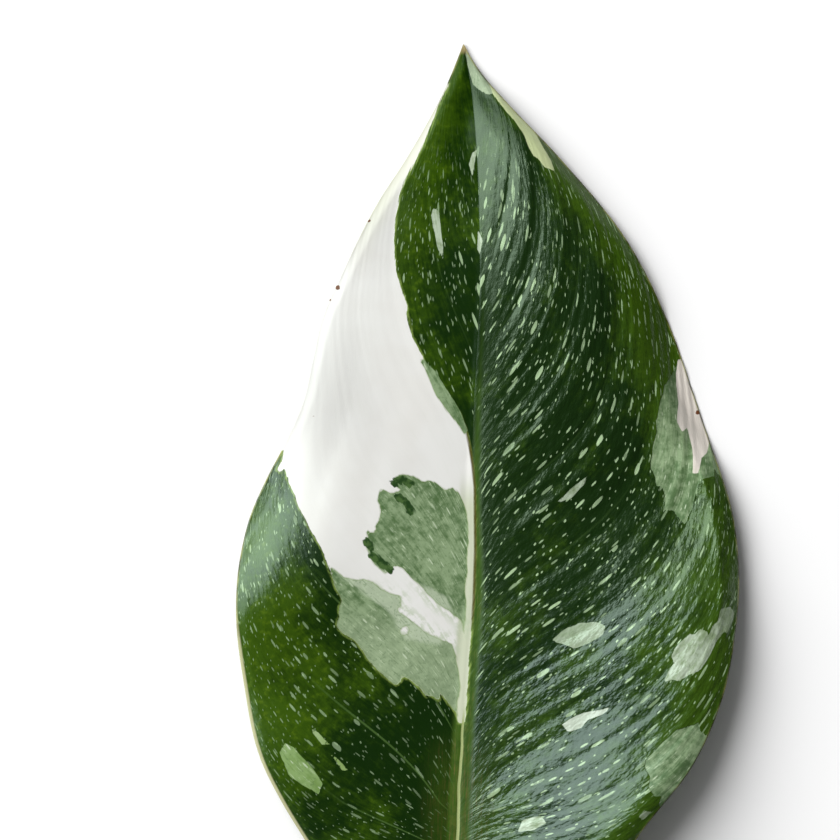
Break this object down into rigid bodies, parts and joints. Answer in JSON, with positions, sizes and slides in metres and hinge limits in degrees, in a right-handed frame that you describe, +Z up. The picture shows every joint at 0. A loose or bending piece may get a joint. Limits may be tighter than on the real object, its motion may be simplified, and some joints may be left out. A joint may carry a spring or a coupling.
{
  "type": "philodendron leaf",
  "caption": "Variegated philodendron leaf with its stalk, an egg-shaped pointed blade, nearly level with a raised lobe on the right, that lies right way up.",
  "frame": {"origin": "middle of the leaf's box on the surface that it lies on", "axes": "+Z up from the surface, +Y from the stalk to the leaf's tip, +X to the right of the blade seen from above"},
  "size_m": [0.1002, 0.2518, 0.0137],
  "materials": {
    "leaf": "waxy green with white and grey-green sectors"
  },
  "bodies": {
    "root": {"leaf": "leaf"}
  },
  "joints": []
}
